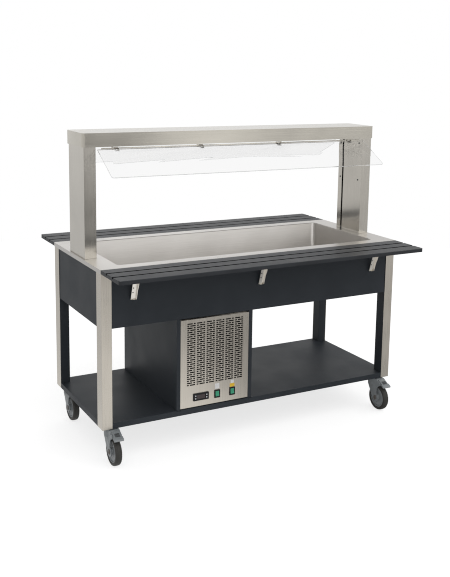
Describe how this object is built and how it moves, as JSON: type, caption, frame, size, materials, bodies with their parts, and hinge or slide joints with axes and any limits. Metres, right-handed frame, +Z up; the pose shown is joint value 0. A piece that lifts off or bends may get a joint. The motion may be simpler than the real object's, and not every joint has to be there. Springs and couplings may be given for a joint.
{
  "type": "mobile salad bar",
  "caption": "Refrigerated salad bar on casters: recessed well, canopy with clear sneeze guards, fold-down tray slides, cooling compartment behind a slotted grille.",
  "frame": {"origin": "on the floor, under the centre of the bounding box", "axes": "+X along the length to the right of someone facing the control side, -Y out of the control side, +Z up"},
  "size_m": [1.5, 1.038, 1.386],
  "materials": {
    "stainless": "brushed, warm grey",
    "anthracite_laminate": "matt anthracite laminate",
    "insulated_tub": "satin steel-coloured tub over foam",
    "compressor_shell": "black paint",
    "condenser_fins": "plain fins",
    "black_plastic": "fine texture",
    "pale_plastic": "satin",
    "lit_green": "translucent green, gloss",
    "lamp_housing": "satin white",
    "clear_sheet": "clear, polished edges",
    "caster_grey": "zinc grey",
    "wheel_grey": "moulded grey",
    "grey_rubber": "dark grey tread"
  },
  "bodies": {
    "frame": {"worktop": "stainless", "canopy": "stainless", "front_grille": "stainless", "rear_grille": "stainless", "drain_fitting": "stainless", "leg_cladding_front_left": "stainless", "leg_cladding_front_right": "stainless", "leg_cladding_rear_left": "stainless", "leg_cladding_rear_right": "stainless", "upright_left": "stainless", "upright_right": "stainless", "leg_post_front_left": "anthracite_laminate", "leg_post_front_right": "anthracite_laminate", "leg_post_rear_left": "anthracite_laminate", "leg_post_rear_right": "anthracite_laminate", "apron_front": "anthracite_laminate", "apron_rear": "anthracite_laminate", "apron_left": "anthracite_laminate", "apron_right": "anthracite_laminate", "bottom_shelf": "anthracite_laminate", "compartment_side_left": "anthracite_laminate", "compartment_side_right": "anthracite_laminate", "insulated_well": "insulated_tub", "compressor": "compressor_shell", "condenser": "condenser_fins", "thermostat_body": "black_plastic", "switch_bezel_left": "black_plastic", "switch_bezel_right": "black_plastic", "canopy_lamp": "lamp_housing"},
    "fork_front_left": {"caster_fork_front_left": "caster_grey"},
    "wheel_front_left": {"caster_wheel_front_left": "wheel_grey", "caster_tyre_front_left": "grey_rubber"},
    "fork_front_right": {"caster_fork_front_right": "caster_grey"},
    "wheel_front_right": {"caster_wheel_front_right": "wheel_grey", "caster_tyre_front_right": "grey_rubber"},
    "fork_rear_left": {"caster_fork_rear_left": "caster_grey"},
    "wheel_rear_left": {"caster_wheel_rear_left": "wheel_grey", "caster_tyre_rear_left": "grey_rubber"},
    "fork_rear_right": {"caster_fork_rear_right": "caster_grey"},
    "wheel_rear_right": {"caster_wheel_rear_right": "wheel_grey", "caster_tyre_rear_right": "grey_rubber"},
    "pedal_left": {"brake_pedal_left": "wheel_grey"},
    "pedal_right": {"brake_pedal_right": "wheel_grey"},
    "tray_front": {"tray_slide_front": "anthracite_laminate"},
    "stay_front_left": {"tray_stay_front_left": "stainless"},
    "stay_front_middle": {"tray_stay_front_middle": "stainless"},
    "stay_front_right": {"tray_stay_front_right": "stainless"},
    "guard_front": {"sneeze_guard_front": "clear_sheet"},
    "tray_rear": {"tray_slide_rear": "anthracite_laminate"},
    "stay_rear_left": {"tray_stay_rear_left": "stainless"},
    "stay_rear_middle": {"tray_stay_rear_middle": "stainless"},
    "stay_rear_right": {"tray_stay_rear_right": "stainless"},
    "guard_rear": {"sneeze_guard_rear": "clear_sheet"},
    "rocker_left": {"switch_rocker_left": "lit_green"},
    "rocker_right": {"switch_rocker_right": "lit_green"},
    "button_upper_left": {"thermostat_button_upper_left": "pale_plastic"},
    "button_lower_left": {"thermostat_button_lower_left": "pale_plastic"},
    "button_upper_right": {"thermostat_button_upper_right": "pale_plastic"},
    "button_lower_right": {"thermostat_button_lower_right": "pale_plastic"},
    "fan": {"fan_rotor": "black_plastic"}
  },
  "joints": [
    {"name": "swivel_front_left", "type": "hinge", "parent": "frame", "child": "fork_front_left", "pos_m": [-0.696, -0.272, 0.1], "axis": [0, 0, 1], "continuous": true},
    {"name": "spin_front_left", "type": "hinge", "parent": "fork_front_left", "child": "wheel_front_left", "pos_m": [-0.696, -0.306, 0.0625], "axis": [1, 0, 0], "continuous": true},
    {"name": "swivel_front_right", "type": "hinge", "parent": "frame", "child": "fork_front_right", "pos_m": [0.696, -0.272, 0.1], "axis": [0, 0, 1], "continuous": true},
    {"name": "spin_front_right", "type": "hinge", "parent": "fork_front_right", "child": "wheel_front_right", "pos_m": [0.696, -0.306, 0.0625], "axis": [1, 0, 0], "continuous": true},
    {"name": "swivel_rear_left", "type": "hinge", "parent": "frame", "child": "fork_rear_left", "pos_m": [-0.696, 0.272, 0.1], "axis": [0, 0, 1], "continuous": true},
    {"name": "spin_rear_left", "type": "hinge", "parent": "fork_rear_left", "child": "wheel_rear_left", "pos_m": [-0.696, 0.238, 0.0625], "axis": [1, 0, 0], "continuous": true},
    {"name": "swivel_rear_right", "type": "hinge", "parent": "frame", "child": "fork_rear_right", "pos_m": [0.696, 0.272, 0.1], "axis": [0, 0, 1], "continuous": true},
    {"name": "spin_rear_right", "type": "hinge", "parent": "fork_rear_right", "child": "wheel_rear_right", "pos_m": [0.696, 0.238, 0.0625], "axis": [1, 0, 0], "continuous": true},
    {"name": "brake_left", "type": "hinge", "parent": "fork_front_left", "child": "pedal_left", "pos_m": [-0.696, -0.324, 0.147], "axis": [1, 0, 0], "range_deg": [0, 10]},
    {"name": "brake_right", "type": "hinge", "parent": "fork_front_right", "child": "pedal_right", "pos_m": [0.696, -0.324, 0.147], "axis": [1, 0, 0], "range_deg": [0, 10]},
    {"name": "tray_front_fold", "type": "hinge", "parent": "frame", "child": "tray_front", "pos_m": [0, -0.318, 0.81], "axis": [1, 0, 0], "range_deg": [0, 90]},
    {"name": "stay_front_left_turn", "type": "hinge", "parent": "tray_front", "child": "stay_front_left", "pos_m": [-0.61, -0.349, 0.815], "axis": [1, 0, 0], "range_deg": [-108, 0]},
    {"name": "stay_front_middle_turn", "type": "hinge", "parent": "tray_front", "child": "stay_front_middle", "pos_m": [0, -0.349, 0.815], "axis": [1, 0, 0], "range_deg": [-108, 0]},
    {"name": "stay_front_right_turn", "type": "hinge", "parent": "tray_front", "child": "stay_front_right", "pos_m": [0.61, -0.349, 0.815], "axis": [1, 0, 0], "range_deg": [-108, 0]},
    {"name": "guard_front_lift", "type": "hinge", "parent": "frame", "child": "guard_front", "pos_m": [0, -0.1, 1.32], "axis": [-1, 0, 0], "range_deg": [0, 50]},
    {"name": "tray_rear_fold", "type": "hinge", "parent": "frame", "child": "tray_rear", "pos_m": [0, 0.318, 0.81], "axis": [-1, 0, 0], "range_deg": [0, 90]},
    {"name": "stay_rear_left_turn", "type": "hinge", "parent": "tray_rear", "child": "stay_rear_left", "pos_m": [-0.61, 0.349, 0.815], "axis": [-1, 0, 0], "range_deg": [-108, 0]},
    {"name": "stay_rear_middle_turn", "type": "hinge", "parent": "tray_rear", "child": "stay_rear_middle", "pos_m": [0, 0.349, 0.815], "axis": [-1, 0, 0], "range_deg": [-108, 0]},
    {"name": "stay_rear_right_turn", "type": "hinge", "parent": "tray_rear", "child": "stay_rear_right", "pos_m": [0.61, 0.349, 0.815], "axis": [-1, 0, 0], "range_deg": [-108, 0]},
    {"name": "guard_rear_lift", "type": "hinge", "parent": "frame", "child": "guard_rear", "pos_m": [0, 0.1, 1.32], "axis": [1, 0, 0], "range_deg": [0, 50]},
    {"name": "rocker_left_rock", "type": "hinge", "parent": "frame", "child": "rocker_left", "pos_m": [-0.2075, -0.3, 0.232], "axis": [1, 0, 0], "range_deg": [0, 14]},
    {"name": "rocker_right_rock", "type": "hinge", "parent": "frame", "child": "rocker_right", "pos_m": [-0.132, -0.3, 0.232], "axis": [1, 0, 0], "range_deg": [0, 14]},
    {"name": "button_upper_left_press", "type": "slide", "parent": "frame", "child": "button_upper_left", "axis": [0, 1, 0], "range_m": [0, 0.0008], "stiffness_N_per_m": 300},
    {"name": "button_lower_left_press", "type": "slide", "parent": "frame", "child": "button_lower_left", "axis": [0, 1, 0], "range_m": [0, 0.0008], "stiffness_N_per_m": 300},
    {"name": "button_upper_right_press", "type": "slide", "parent": "frame", "child": "button_upper_right", "axis": [0, 1, 0], "range_m": [0, 0.0008], "stiffness_N_per_m": 300},
    {"name": "button_lower_right_press", "type": "slide", "parent": "frame", "child": "button_lower_right", "axis": [0, 1, 0], "range_m": [0, 0.0008], "stiffness_N_per_m": 300},
    {"name": "fan_spin", "type": "hinge", "parent": "frame", "child": "fan", "pos_m": [-0.22, -0.222, 0.395], "axis": [0, 1, 0], "continuous": true}
  ],
  "couplings": [
    {"joint": "stay_front_left_turn", "follows": "tray_front_fold", "ratio": -1.2},
    {"joint": "stay_front_middle_turn", "follows": "tray_front_fold", "ratio": -1.2},
    {"joint": "stay_front_right_turn", "follows": "tray_front_fold", "ratio": -1.2},
    {"joint": "stay_rear_left_turn", "follows": "tray_rear_fold", "ratio": -1.2},
    {"joint": "stay_rear_middle_turn", "follows": "tray_rear_fold", "ratio": -1.2},
    {"joint": "stay_rear_right_turn", "follows": "tray_rear_fold", "ratio": -1.2}
  ]
}
